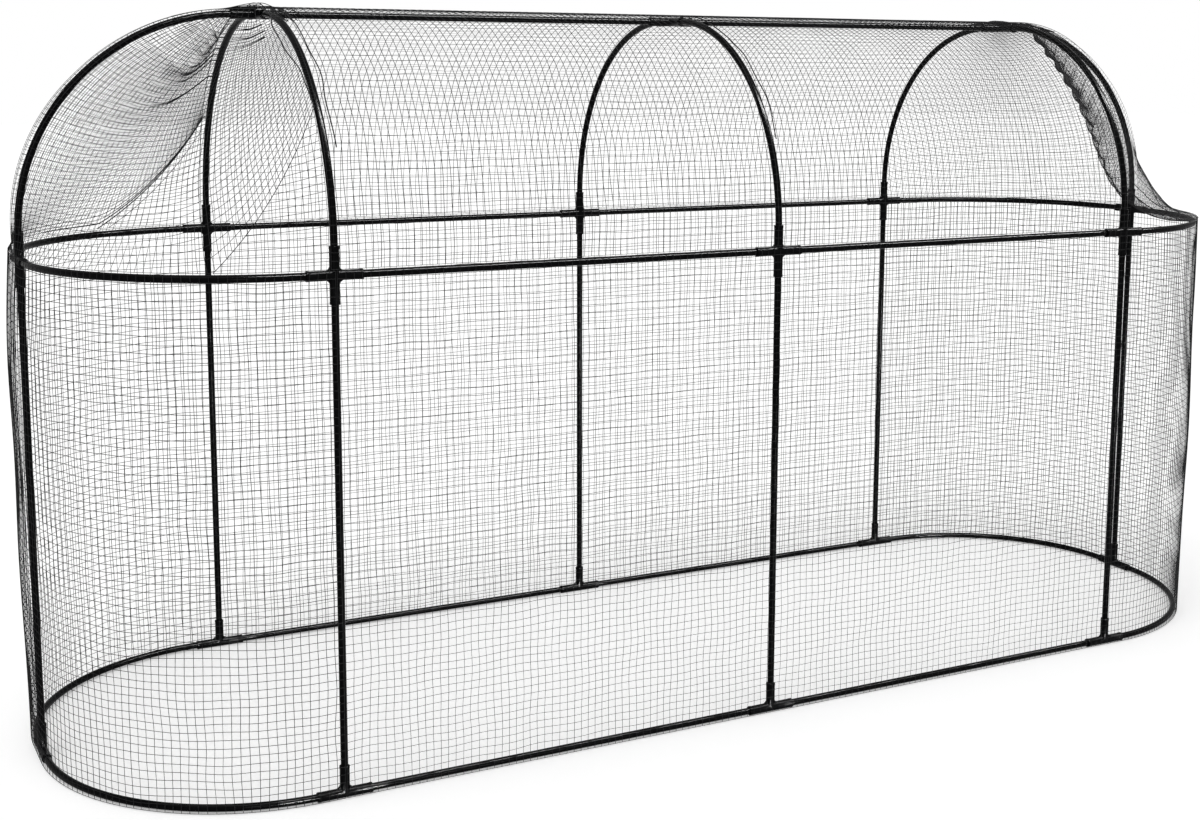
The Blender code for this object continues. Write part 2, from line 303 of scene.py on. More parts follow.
# %% [markdown]
# ## Tubes
#
# A tube could be a curve with a round bevel, but its cut ends would be knife sharp. Here a round
# section is swept along stations instead, and the ends are chamfered and hollow like sawn tube.

# %% Tube meshes
TUBE_SIDES = 24
BEND_STEPS = 40
END_CHAMFER = 0.0004
END_RUN = 0.1
TUBE_SHARP_DEGREES = 60


def round_section(radius, count):
    return [
        (radius * cos(k * 2 * pi / count), radius * sin(k * 2 * pi / count))
        for k in range(count)
    ]


def skin(bm, rings):
    """Faces from each ring of points to the next."""
    for one, other in zip(rings, rings[1:]):
        for k in range(len(one)):
            n = (k + 1) % len(one)
            bm.faces.new((one[k], one[n], other[n], other[k]))


def sweep(name, stations):
    """A hollow round tube through stations of centre and tangent, all in the XZ plane."""
    bm = bmesh.new()
    inner = TUBE_RADIUS - TUBE_WALL
    first, last = stations[0], stations[-1]
    lip = END_CHAMFER
    path = [(*first, inner), (*first, TUBE_RADIUS - lip)]
    path.append((first[0] + first[1] * lip, first[1], TUBE_RADIUS))
    path += [(centre, tangent, TUBE_RADIUS) for centre, tangent in stations[1:-1]]
    path.append((last[0] - last[1] * lip, last[1], TUBE_RADIUS))
    path += [(*last, TUBE_RADIUS - lip), (*last, inner)]
    path += [(centre, tangent, inner) for centre, tangent in stations[-2:0:-1]]
    rings = []
    for centre, tangent, radius in path:
        side = tangent.cross(Y)
        section = round_section(radius, TUBE_SIDES)
        rings.append([bm.verts.new(centre + side * u + Y * v) for u, v in section])
    skin(bm, rings + rings[:1])
    return to_mesh(name, bm, TUBE_SHARP_DEGREES)


# %% Straight tubes and bends
def straight_tube(name, between_centres):
    """A tube from stop to stop, with a station a little in from each end."""
    far = between_centres - TUBE_STOP
    places = (TUBE_STOP, TUBE_STOP + END_RUN, far - END_RUN, far)
    return sweep(name, [(X * x, X) for x in places])


def bent_tube(name):
    """The quarter bend: from the origin along X, round towards Z."""
    centre = Vector((BEND_STRAIGHT, 0, BEND_RADIUS))
    stations = [(X * TUBE_STOP, X)]
    for step in range(BEND_STEPS + 1):
        angle = step / BEND_STEPS * pi / 2
        across = Vector((sin(angle), 0, -cos(angle)))
        tangent = Vector((cos(angle), 0, sin(angle)))
        stations.append((centre + across * BEND_RADIUS, tangent))
    stations.append((Vector((HALF_WIDTH, 0, HALF_WIDTH - TUBE_STOP)), Z))
    return sweep(name, stations)


bay_tube = straight_tube("bay_tube", BAY_LENGTH)
post_tube = straight_tube("post_tube", WAIST_HEIGHT)
quarter_bend = bent_tube("quarter_bend")
print("faces in a quarter bend:", len(quarter_bend.polygons))

# %% [markdown]
# ## Connectors
#
# A connector is one moulding: round sleeves that cross, a thin web with rounded corners between
# them, and a raised bead at each mouth. Lathed sleeves are joined by booleans, as the tool that
# cuts the mould would be, and a bevel softens the edges where they meet.

# %% Sleeves
SLEEVE_SIDES = 32
BEAD_HEIGHT = 0.0005
BEAD_RADIUS = SLEEVE_RADIUS + BEAD_HEIGHT
BEAD_LENGTH = 0.007
LIP = 0.0006


def closed_solid(name, bm, rings):
    """An object from rings of points with a flat face over each end."""
    skin(bm, rings)
    bm.faces.new(rings[0])
    bm.faces.new(reversed(rings[-1]))
    return add_object(name, to_mesh(name, bm))


def lathe(name, profile, axis):
    """A closed turned solid from (along, radius) points on the given axis."""
    bm = bmesh.new()
    side = Y
    other = axis.cross(side)
    rings = []
    for along, radius in profile:
        section = round_section(radius, SLEEVE_SIDES)
        rings.append([bm.verts.new(axis * along + side * u + other * v) for u, v in section])
    return closed_solid(name, bm, rings)


def arm_profile():
    """Half a sleeve's outline, from the middle to the mouth with its bead."""
    bead_start = SLEEVE_REACH - BEAD_LENGTH
    return [
        (bead_start - LIP, SLEEVE_RADIUS),
        (bead_start + LIP, BEAD_RADIUS),
        (SLEEVE_REACH - LIP, BEAD_RADIUS),
        (SLEEVE_REACH, BEAD_RADIUS - LIP),
    ]


# %% The web between the sleeves
WEB_SINK = 0.002
FILLET_STEPS = 8


def fillet(far, sign_x, sign_z):
    """The hollow quarter round in one corner of the web."""
    arc = []
    for step in range(FILLET_STEPS + 1):
        angle = step / FILLET_STEPS * pi / 2
        x = far - WEB_FILLET * sin(angle)
        z = far - WEB_FILLET * cos(angle)
        arc.append((sign_x * x, sign_z * z))
    return arc if sign_x * sign_z > 0 else arc[::-1]


def web_plate(name, arms):
    """The flat web, with its edge sunk a little into the sleeves."""
    far = SLEEVE_RADIUS - WEB_SINK + WEB_FILLET
    points = []
    for sign_x, sign_z in ((1, 1), (-1, 1), (-1, -1), (1, -1)):
        if sign_z < 0 and "down" not in arms:
            points.append((sign_x * far, 0))
        else:
            points += fillet(far, sign_x, sign_z)
    bm = bmesh.new()
    faces = (-WEB_THICKNESS / 2, WEB_THICKNESS / 2)
    ends = [[bm.verts.new((x, y, z)) for x, z in points] for y in faces]
    return closed_solid(name, bm, ends)


# %% Join and soften
SOFT_EDGE = 0.0008
SOFT_EDGE_DEGREES = 40
CONNECTOR_SHARP_DEGREES = 50


def connector(name, arms):
    """A moulding with an arm for each name, each with a blind socket."""
    arm = arm_profile()
    mirrored = [(-along, radius) for along, radius in reversed(arm)]
    body = lathe(name, mirrored + arm, X)
    foot = mirrored if "down" in arms else [(0, SLEEVE_RADIUS - LIP), (LIP, SLEEVE_RADIUS)]
    upright = lathe(name + "_upright", foot + arm, Z)
    tools = [(upright, "UNION"), (web_plate(name + "_web", arms), "UNION")]
    mouth = [(SOCKET_FLOOR, BORE_RADIUS), (SLEEVE_REACH - LIP, BORE_RADIUS)]
    mouth.append((SLEEVE_REACH + LIP, BORE_RADIUS + 2 * LIP))
    axes = {"left": -X, "right": X, "up": Z, "down": -Z}
    for arm_name in arms:
        tools.append((lathe(name + "_socket_" + arm_name, mouth, axes[arm_name]), "DIFFERENCE"))
    for tool, operation in tools:
        step = body.modifiers.new(tool.name, "BOOLEAN")
        step.operation = operation
        step.object = tool
    soften = body.modifiers.new("soften", "BEVEL")
    soften.width = SOFT_EDGE
    soften.segments = 2
    soften.limit_method = "ANGLE"
    soften.angle_limit = radians(SOFT_EDGE_DEGREES)
    bpy.context.view_layer.update()
    graph = bpy.context.evaluated_depsgraph_get()
    shape = bpy.data.meshes.new_from_object(body.evaluated_get(graph))
    shape.name = name
    for used in [body] + [tool for tool, _ in tools]:
        bpy.data.objects.remove(used)
    shape.shade_smooth()
    shape.set_sharp_from_angle(angle=radians(CONNECTOR_SHARP_DEGREES))
    return shape


tee = connector("tee", ("left", "right", "up"))
cross = connector("cross", ("left", "right", "up", "down"))
print("faces in a cross:", len(cross.polygons))

# %% [markdown]
# ## Putting the frame together
#
# The two rings and the posts come first, then the arches, hips and ridge over them. The loops
# follow the plan of the cage: left, middle and right along it, front and back across it.


# %% Places on the plan
def over_post(side, face, z):
    """A height on the line of a post along the bays, or between them where side is 0."""
    return Vector((side * BAY_LENGTH, face * HALF_WIDTH, z))


def over_end(side, z):
    """A height on the line of the post at the middle of a round end."""
    return Vector((side * (BAY_LENGTH + HALF_WIDTH), 0, z))


print("left front foot:", tuple(round(part, 3) for part in over_post(-1, -1, BASE_HEIGHT)))

# %% The two rings
for level, z, joint, kind in (("base", BASE_HEIGHT, tee, "tee"), ("waist", RING_HEIGHT, cross, "cross")):
    for side in (-1, 1):
        end = over_end(side, z)
        put_turned(f"{level}_{kind}_{SIDE_NAMES[side]}_end", joint, "connector", end, Y, Z)
        for face in (-1, 1):
            at = f"{FACE_NAMES[face]}_{SIDE_NAMES[side]}"
            corner, halfway = over_post(side, face, z), over_post(0, face, z)
            along = X * side
            put_turned(f"{level}_bend_{at}", quarter_bend, "tube", corner, along, -Y * face)
            put_turned(f"{level}_rail_{at}", bay_tube, "tube", halfway, along, Z)
    for face in (-1, 1):
        for side in (-1, 0, 1):
            corner = over_post(side, face, z)
            at = f"{FACE_NAMES[face]}_{SIDE_NAMES[side]}"
            put_turned(f"{level}_{kind}_{at}", joint, "connector", corner, X, Z)

# %% Posts, arches, hips and ridge
for side in (-1, 0, 1):
    for face in (-1, 1):
        here, there = FACE_NAMES[face], SIDE_NAMES[side]
        foot = over_post(side, face, BASE_HEIGHT)
        put_turned(f"post_{here}_{there}", post_tube, "tube", foot, Z, X)
        foot = foot + Z * WAIST_HEIGHT
        put_turned(f"arch_{there}_{here}", quarter_bend, "tube", foot, Z, -Y * face)
    crown = over_post(side, 0, CROWN_HEIGHT)
    put_turned(f"crown_cross_{SIDE_NAMES[side]}", cross, "connector", crown, X, Y)

for side in (-1, 1):
    there = SIDE_NAMES[side]
    foot = over_end(side, BASE_HEIGHT)
    put_turned(f"post_{there}_end", post_tube, "tube", foot, Z, X)
    foot = foot + Z * WAIST_HEIGHT
    put_turned(f"hip_{there}", quarter_bend, "tube", foot, Z, -X * side)
    crown = over_post(0, 0, CROWN_HEIGHT)
    put_turned(f"ridge_{there}", bay_tube, "tube", crown, X * side, Z)

# %% [markdown]
# ## How the net is made
#
# A net could be one sheet with a see-through material, but it would look flat and lose its
# strands from the side. So each strand is a thin curve with a round bevel. A panel is described
# by a function from a place on the flat cloth to a place in space, and the strands of both
# directions follow the same function, so they always cross.


# %% Strands as curves
def net_curve(name, lines, radius, thickness=None):
    """A spline for each line, each as thick as its share of the radius."""
    data = bpy.data.curves.new(name, "CURVE")
    data.dimensions = "3D"
    data.bevel_depth = radius
    data.bevel_resolution = 0
    data.use_fill_caps = True
    for line, share in zip(lines, thickness or [1.0] * len(lines)):
        spline = data.splines.new("POLY")
        spline.points.add(len(line) - 1)
        flat = [number for point in line for number in (*point, 1)]
        spline.points.foreach_set("co", flat)
        spline.points.foreach_set("radius", np.broadcast_to(share, len(line)).astype(float))
    return data


def put_net(name, lines, radius, thickness=None):
    put(name, net_curve(name + "_strands", lines, radius, thickness), "net")
    print(name, "strands:", len(lines), "points:", sum(len(line) for line in lines))


# %% [markdown]
# ## The weave
#
# A real net isn't ruled: its strands stray by a few millimetres. They could be jittered one by
# one, but then the crossings would come apart. So one slow noise moves the cloth under them.

# %% Weave
MESH_PITCH = 0.020
WEAVE_WANDER = 0.005
WANDER_LENGTH = 0.11
UPWARD_SEED = 50


def wander(across, up, seed):
    """How far a strand strays from its straight place on the cloth."""
    return WEAVE_WANDER * noise.noise(Vector((across / WANDER_LENGTH, up / WANDER_LENGTH, seed)))


def evenly(length, pitch):
    """Places from 0 to length, as near to the pitch as a whole number of gaps allows."""
    gaps = max(1, round(length / pitch))
    return [length * k / gaps for k in range(gaps + 1)]


def weave(width, height, surface, seed, gather=1.0):
    """Strands both ways over a cloth of the given flat size. A gathered cloth has more uprights."""

    def at(across, up):
        inside = across + wander(across, up, seed) * (0 < across < width)
        level = up + wander(across, up, seed + UPWARD_SEED) * (0 < up < height)
        return surface(inside, level)

    ups, acrosses = evenly(height, MESH_PITCH), evenly(width, MESH_PITCH)
    lines = [[at(across, up) for up in ups] for across in evenly(width, MESH_PITCH / gather)]
    return lines + [[at(across, up) for across in acrosses] for up in ups]


print("strands in a metre of cloth:", len(evenly(1, MESH_PITCH)))

# %% [markdown]
# ## Walls
#
# The long walls hang almost flat from the waist rail to the base rail. A slow ripple of a few
# millimetres keeps them from looking like sheet metal.

# %% Sizes of the walls
SLEEVE_GAP = 0.0013
NET_OFFSET = SLEEVE_RADIUS + SLEEVE_GAP
HEM_DROP = 0.009
HEM_RISE = 0.011
SEAM_STEP = 0.004
WALL_LENGTH = 2 * BAY_LENGTH - SEAM_STEP
WALL_BOTTOM = BASE_HEIGHT - HEM_DROP
WALL_TOP = RING_HEIGHT + HEM_RISE
WALL_HEIGHT = WALL_TOP - WALL_BOTTOM
print("a wall is", round(WALL_LENGTH, 3), "by", round(WALL_HEIGHT, 3), "m of net")

# %% Wall nets
WALL_STRAND = 0.00060
WALL_SLACK = 0.002
RIPPLE = 0.006
RIPPLE_ACROSS = 0.35
RIPPLE_UP = 0.5


def ripple(across, up, seed):
    """How far the cloth waves out of its surface."""
    return RIPPLE * noise.noise(Vector((across / RIPPLE_ACROSS, up / RIPPLE_UP, seed)))


def clamp(value, top=1):
    return min(max(value, 0), top)


def wall_surface(face):
    def surface(across, up):
        hold = sin(pi * clamp(up / WALL_HEIGHT))
        out = NET_OFFSET + (WALL_SLACK + ripple(across, up, seed=face * 3 + 7)) * hold
        return Vector((across - WALL_LENGTH / 2, face * (HALF_WIDTH + out), WALL_BOTTOM + up))

    return surface


for face in (-1, 1):
    strands = weave(WALL_LENGTH, WALL_HEIGHT, wall_surface(face), seed=10 + face)
    put_net("net_" + FACE_NAMES[face], strands, WALL_STRAND)

# %% [markdown]
# ## Round ends
#
# The end walls follow the quarter bends of the rings. The cloth is a little too long for the
# curve, so it stands off the frame between the rings. Every bend of the cage has one size, so one
# function gives a place over any of them, and three short ones say which bend is meant.


# %% Places over a bend
def bend_point(start, corner, end, share, offset):
    """A point on a quarter bend's centreline by share of its length, moved outwards."""
    first = (corner - start).normalized()
    second = (end - corner).normalized()
    along = share * BEND_LENGTH
    angle = clamp((along - BEND_STRAIGHT) / BEND_RADIUS, top=pi / 2)
    outward = first * sin(angle) - second * cos(angle)
    centre = corner - first * BEND_RADIUS + second * BEND_RADIUS
    point = centre + outward * (BEND_RADIUS + offset)
    point += first * min(along - BEND_STRAIGHT, 0)
    point += second * max(along - BEND_LENGTH + BEND_STRAIGHT, 0)
    return point


def ring_point(side, face, share, offset, z):
    """Over a ring's bend, from the corner post (0) to the end post (1)."""
    start = over_post(side, face, z)
    corner = start + X * side * HALF_WIDTH
    return bend_point(start, corner, corner - Y * face * HALF_WIDTH, share, offset)


def arch_point(x, face, share, offset):
    """Over an arch's bend, from the waist (0) to the crown (1)."""
    start = Vector((x, face * HALF_WIDTH, RING_HEIGHT))
    corner = start + Z * HALF_WIDTH
    return bend_point(start, corner, corner - Y * face * HALF_WIDTH, share, offset)


def hip_point(side, y, share, offset):
    """Over a hip, from the end post (0) to the crown (1)."""
    start = Vector((side * (BAY_LENGTH + HALF_WIDTH), y, RING_HEIGHT))
    corner = start + Z * HALF_WIDTH
    return bend_point(start, corner, corner - X * side * HALF_WIDTH, share, offset)


def over_two_bends(along):
    """Which half of a round a length lies on, and its share of that half's bend."""
    face = -1 if along <= BEND_LENGTH else 1
    return face, (along if face < 0 else 2 * BEND_LENGTH - along) / BEND_LENGTH


print("top of a hip:", tuple(round(part, 3) for part in hip_point(-1, 0, 1, NET_OFFSET)))

# %% End nets
END_START = SEAM_STEP / 2
END_LENGTH = 2 * (BEND_LENGTH - END_START)
END_STRAND = 0.00074
END_SLACK = 0.003
END_BULGE = {-1: 0.012, 1: 0.006}
END_RIPPLES = 2
END_GATHER = {-1: 1.0, 1: 1.4}

# Above 1 the cloth stands off furthest over the middle of its height
BULGE_HEIGHT = 1.6


def end_surface(side):
    def surface(across, up):
        face, share = over_two_bends(across + END_START)
        hold = sin(pi * clamp(up / WALL_HEIGHT) ** BULGE_HEIGHT)
        toward_end = sin(pi / 2 * clamp(share)) ** 2
        waves = END_RIPPLES * ripple(across, up, seed=side * 5)
        out = NET_OFFSET + hold * (END_SLACK + END_BULGE[side] * toward_end + waves)
        return ring_point(side, face, share, out, WALL_BOTTOM + up)

    return surface


for side in (-1, 1):
    strands = weave(END_LENGTH, WALL_HEIGHT, end_surface(side), seed=20 + side, gather=END_GATHER[side])
    put_net(f"net_{SIDE_NAMES[side]}_end", strands, END_STRAND)

# %% [markdown]
# ## Roof
#
# The roof cloth lies over the three arches and is a little loose at the shoulders, where it
# stands off the tubes. The strands along the cage thin out towards the ridge, where they are seen
# at a flat angle and would pile up into a dark band.

# %% Roof net
ARCH_HEM = 0.012
ROOF_LENGTH = 2 * (BAY_LENGTH + ARCH_HEM)
ROOF_START = HEM_RISE + SEAM_STEP
ROOF_SPAN = 2 * (BEND_LENGTH - ROOF_START)
SHOULDER_LOOSE = 0.016
SHOULDER_RIPPLES = 1.5
RIDGE_LIFT = 0.005
RIDGE_SHARPNESS = 4
ROOF_STRAND = 0.00057
ARC_THICKNESS = 1.3
ROW_THINNING = 0.6


def roof_surface(across, up):
    face, share = over_two_bends(up + ROOF_START)
    shoulder = sin(pi * clamp(share)) ** 2
    out = NET_OFFSET + SHOULDER_LOOSE * shoulder + RIDGE_LIFT * share ** RIDGE_SHARPNESS
    out += SHOULDER_RIPPLES * ripple(across, up, seed=31) * shoulder
    return arch_point(across - ROOF_LENGTH / 2, face, share, out)


roof_thickness = [ARC_THICKNESS] * len(evenly(ROOF_LENGTH, MESH_PITCH))
for up in evenly(ROOF_SPAN, MESH_PITCH):
    roof_thickness.append(1.0 - ROW_THINNING * sin(pi * up / ROOF_SPAN) ** 2)
strands = weave(ROOF_LENGTH, ROOF_SPAN, roof_surface, seed=30)
put_net("net_roof", strands, ROOF_STRAND, roof_thickness)

# %% [markdown]
# ## Hoods
#
# Over each round end the cloth is stretched between the end arch, the hip and the waist ring. It
# is drawn tight from the arch's side to the ring, and that line shows as a crease. A stretched
# cloth lies like a soap film: each point is the mean of its neighbours. So above the crease a grid
# is relaxed until that holds, and below it a corner piece follows the arch and the ring.

# %% Edges of a film
HIP_SEAM_WIDTH = 0.020
HIP_LIFT = 0.006  # off the tube in the hip's lower half
CROWN_GATHER = 0.090
EDGE_BOW = 0.025
FILM_GAPS = 40
HEM_SHARE = (HEM_RISE + SEAM_STEP) / BEND_LENGTH
TOP_SHARE = 1 - CROWN_GATHER / BEND_LENGTH
HOOD_START = BAY_LENGTH + ARCH_HEM + SEAM_STEP
HOOD_LEVEL = RING_HEIGHT + HEM_RISE + SEAM_STEP

# The halves of the hoods, each a side and a face
LEFT_FRONT, LEFT_BACK, RIGHT_FRONT, RIGHT_BACK = (-1, -1), (-1, 1), (1, -1), (1, 1)

# Where the crease, or the loose edge, meets the arch and the ring, as shares of their bends
CREASES = {
    LEFT_FRONT: (0.40, 0.28),
    LEFT_BACK: (0.33, 0.33),
    RIGHT_FRONT: (0.12, 0.33),
    RIGHT_BACK: (0.05, 0.05),
}


def share_steps(count, low=0, high=1):
    return [low + (high - low) * k / count for k in range(count + 1)]


def arch_edge(half, share):
    """The hood's edge beside the end arch."""
    side, face = half
    return arch_point(side * HOOD_START, face, share, NET_OFFSET)


def ring_edge(half, share):
    """The hood's edge over the waist ring."""
    return ring_point(*half, share, NET_OFFSET, HOOD_LEVEL)


def crease_line(half, count):
    """The crease from the arch down to the ring, bowed towards the corner below it."""
    arch_share, ring_share = CREASES[half]
    high, low = arch_edge(half, arch_share), ring_edge(half, ring_share)
    corner = over_post(*half, RING_HEIGHT)
    # s * (1 - s) is a quarter at the middle, so four times the bow
    pull = (corner - (high + low) / 2).normalized() * EDGE_BOW * 4
    return [high.lerp(low, s) + pull * s * (1 - s) for s in share_steps(count)]


def film_edges(half):
    """The four edges of a film: crown, arch, hip, and the crease with the rest of the ring."""
    side, face = half
    arch_share, ring_share = CREASES[half]
    seam_y = face * HIP_SEAM_WIDTH / 2
    arch = [arch_edge(half, s) for s in share_steps(FILM_GAPS, TOP_SHARE, arch_share)]
    hip = []
    for s in share_steps(FILM_GAPS, TOP_SHARE, HEM_SHARE):
        lift = HIP_LIFT * sin(pi * min(1, 2 * s))
        hip.append(hip_point(side, seam_y, s, NET_OFFSET + lift))
    crease = crease_line(half, 1)
    crease_length = (crease[1] - crease[0]).length
    ring_length = (1 - ring_share) * BEND_LENGTH
    crease_gaps = max(1, round(FILM_GAPS * crease_length / (crease_length + ring_length)))
    ring_shares = share_steps(FILM_GAPS - crease_gaps, ring_share, 1 - HIP_SEAM_WIDTH / 2 / BEND_LENGTH)
    ring = [ring_edge(half, s) for s in ring_shares]
    bottom = crease_line(half, crease_gaps) + ring[1:]
    crown = [arch[0].lerp(hip[0], s) for s in share_steps(FILM_GAPS)]
    return [np.array(edge) for edge in (crown, arch, hip, bottom)]


print("points along a film's edges:", [len(edge) for edge in film_edges(LEFT_FRONT)])

# %% Relaxed films
FILM_ROUNDS = 2500
DOWN_PULL = {LEFT_FRONT: 1.0, LEFT_BACK: 1.0, RIGHT_FRONT: 4.0, RIGHT_BACK: 1.6}
HANG = {LEFT_FRONT: 0.034, LEFT_BACK: 0.034, RIGHT_FRONT: 0.0, RIGHT_BACK: 0.012}

# Below 1 the cloth hangs lowest above the middle of its height
HANG_HEIGHT = 0.6
down_shares = np.linspace(0, 1, FILM_GAPS + 1)[:, None]
across_shares = np.linspace(0, 1, FILM_GAPS + 1)[None, :]


def relaxed_film(half):
    """Rows of points from the crown down, each from the arch to the hip, at rest like a soap film."""
    crown, arch, hip, bottom = film_edges(half)
    across = across_shares[:, :, None]
    film = arch[:, None, :] * (1 - across) + hip[:, None, :] * across
    film[0], film[-1] = crown, bottom
    pull = DOWN_PULL[half]
    for _ in range(FILM_ROUNDS):
        along = film[:-2, 1:-1] + film[2:, 1:-1]
        beside = film[1:-1, :-2] + film[1:-1, 2:]
        film[1:-1, 1:-1] = (pull * along + beside) / (2 * pull + 2)
    sag = HANG[half] * 4 * across_shares * (1 - across_shares)
    film[:, :, 2] -= sag * np.sin(np.pi * down_shares ** HANG_HEIGHT)
    return film


films = {half: relaxed_film(half) for half in CREASES}
print("film points:", sum(film.shape[0] * film.shape[1] for film in films.values()))

# %% [markdown]
# ## The loose film
#
# At the right the front cloth has come loose from the corner. It falls in beside the arch and out
# by the ring, and its edge is scalloped where the mesh hangs from single knots. A cloth solver
# could drop it, but it would be slow and hard to steer. Three waves added to the film are enough.

# %% Loosen the right front film
FALL_IN = 0.16
FALL_OUT = 0.058
SCALLOP = 0.010
SCALLOP_COUNT = 13
INWARDS = np.array([-1, 0, -0.3])
OUTWARDS = np.array([0.6, -0.8, 0.2])

# Powers that shape the waves: above 1 moves one down the cloth or towards the hip, below 1
# towards the arch, and the breadth flattens its top
FALL_LOWNESS, FALL_BREADTH, FALL_PLACE = 3.3, 0.7, 0.8
SCALLOP_PLACE, OUTWARD_PLACE = 0.4, 2


def slacken(film):
    """Lets a film fall in beside the arch and out by the ring."""
    low = np.clip(np.sin(np.pi * down_shares ** FALL_LOWNESS), 0, 1)
    inwards = FALL_IN * low ** FALL_BREADTH * np.sin(np.pi * across_shares ** FALL_PLACE)
    waves = np.sin(2 * np.pi * SCALLOP_COUNT * down_shares) * np.clip(1 - down_shares ** 2, 0, 1)
    inwards = inwards + SCALLOP * waves * np.sin(np.pi * across_shares ** SCALLOP_PLACE)
    outwards = FALL_OUT * low * np.clip(np.sin(np.pi * across_shares ** OUTWARD_PLACE), 0, 1)
    film += inwards[:, :, None] * INWARDS + outwards[:, :, None] * OUTWARDS
    return film


films[RIGHT_FRONT] = slacken(films[RIGHT_FRONT])
print("it falls in by up to", FALL_IN, "m and out by", FALL_OUT, "m")

# %% [markdown]
# ## Drape of the hoods
#
# The film gives the shape of the cloth, and the strands lie in it as the cloth is draped. On the
# left the strands that come level from the hip turn down to reach the arch lower, because the
# cloth hangs from it. Near the arch they are also drawn together into swags: a strand close to a
# swag is pulled towards it, which leaves a thin place beside each dark fold.


# %% Places on a film
def sample(grid, down, across):
    """Points of a grid at arrays of shares down and across it."""
    place_down = np.clip(down, 0, 1) * FILM_GAPS
    place_across = np.clip(across, 0, 1) * FILM_GAPS
    i = np.minimum(place_down.astype(int), FILM_GAPS - 1)
    j = np.minimum(place_across.astype(int), FILM_GAPS - 1)
    u, v = (place_down - i)[:, None], (place_across - j)[:, None]
    upper = grid[i, j] * (1 - v) + grid[i, j + 1] * v
    lower = grid[i + 1, j] * (1 - v) + grid[i + 1, j + 1] * v
    return upper * (1 - u) + lower * u


middle = np.array([0.5])
print("middle of the left front film:", sample(films[LEFT_FRONT], middle, middle)[0].round(3))

# %% Droop and swags
# How far the strands turn down beside the arch: amount, how it starts and ends down the arch, and
# how quickly it fades away from the arch
DROOP = {LEFT_FRONT: (1.1, 0.6, 3.0, 4.8), LEFT_BACK: (0.73, 0.4, 1.0, 2.5)}

# Places down the hip's edge from which the strands of a swag come
SWAG_PLACES = {LEFT_BACK: [0.06, 0.10, 0.145, 0.22, 0.265, 0.31, 0.445]}
SWAG_PULL = 0.75
SWAG_WIDTH = 0.022
SWAG_REACH = 0.75


def drawn_together(down, across, places):
    """Strands near a swag's place move towards it, most of all beside the arch."""
    fade = np.clip(1 - across / SWAG_REACH, 0, 1)
    moved = down.copy()
    for place in places:
        away = down - place
        moved -= SWAG_PULL * fade * away * np.exp(-((away / SWAG_WIDTH) ** 2))
    return moved


def drooped(down, across, amount, start, end, quickness):
    """Turns the strands down beside the arch. The crown and the crease stay where they are."""
    inside = np.clip(down, 0, 1)
    fade = (1 - np.clip(across, 0, 1)) ** quickness
    return inside + amount * fade * inside ** start * (1 - inside) ** end


# %% Points on the draped cloth
STRAY = 0.006
STRAY_SCALE = 7
EDGE_FADE = 12
DOWN_SEED, ACROSS_SEED = 3.1, 9.7


def stray(down, across, seed):
    """Small wander of the strands, the same for both directions."""
    spots = [Vector((d * STRAY_SCALE, a * STRAY_SCALE, seed)) for d, a in zip(down, across)]
    return np.array([noise.noise(spot) for spot in spots]) * STRAY


def inside_edges(share):
    """0 at both edges of the cloth, and 1 from a twelfth of the way in."""
    return np.clip(np.minimum(share, 1 - share) * EDGE_FADE, 0, 1)


def hood_places(half, down, across):
    """Points in space for places on the cloth of half a hood."""
    side, face = half
    inner = inside_edges(down) * inside_edges(across)
    place = down + stray(down, across, DOWN_SEED + side + face) * inner
    place = drawn_together(place, across, SWAG_PLACES.get(half, []))
    if half in DROOP:
        place = drooped(place, across, *DROOP[half])
    aside = across + stray(down, across, ACROSS_SEED + side + face) * inner
    return sample(films[half], place, aside)


# %% [markdown]
# ## Strands of the hoods
#
# The columns run from the crown down and the rows from the arch to the hip. As all columns meet
# at the crown they would clot there, so some start lower, as a knitter drops stitches. On the real
# net the cloth is gathered instead, and the rows beyond the film's top edge stand for that.

# %% Lines on a film
HOOD_POINTS = 74


def film_row(half, down, low=0, high=1):
    """A line across a film, between two shares of its width."""
    run = np.linspace(low, high, HOOD_POINTS + 1)
    return hood_places(half, np.full_like(run, down), run)


def film_column(half, across, low=0, high=1, gaps=HOOD_POINTS):
    """A line down a film, between two shares of its height."""
    run = np.linspace(low, high, gaps + 1)
    return hood_places(half, run, np.full_like(run, across))


def tied(side, line):
    """A strand across a hood ends at the arch's tube, a little inside the film's edge."""
    return [line[0] - np.array([side * (ARCH_HEM + SEAM_STEP / 2), 0, 0]), *line]


print("lowest point of a row:", round(film_row(LEFT_FRONT, down=0.5)[:, 2].min(), 3))

# %% Rows and columns
HOOD_ROWS = {LEFT_FRONT: 50, LEFT_BACK: 72, RIGHT_FRONT: 66, RIGHT_BACK: 66}
HOOD_COLUMNS = {LEFT_FRONT: 56, LEFT_BACK: 72, RIGHT_FRONT: 76, RIGHT_BACK: 70}

# Below 1 the columns stand further apart beside the arch, where the left back cloth is drawn flat
COLUMN_SPREAD = {LEFT_BACK: 0.72}

# Where every second, fourth and eighth column starts, so that the mesh stays open near the crown
COLUMN_STARTS = {LEFT_FRONT: (0.10, 0.04, 0.02), LEFT_BACK: (0.24, 0.10, 0.0)}

# Extra rows of one half only, where its cloth turns over at the crease or wraps the ring
EXTRA_ROWS = {LEFT_BACK: [0.94, 0.96, 0.975, 0.987], RIGHT_FRONT: [0.93, 0.945, 0.96, 0.97, 0.98, 0.99]}

# Rows between the film's top edge (0) and the crown (1), where the cloth is gathered
CROWN_ROWS = [0.2, 0.4, 0.6, 0.8]


def column_start(half, k):
    second, fourth, eighth = COLUMN_STARTS.get(half, (0.0, 0.0, 0.0))
    if k % 2:
        return second
    return fourth if k % 4 else eighth if k % 8 else 0.0


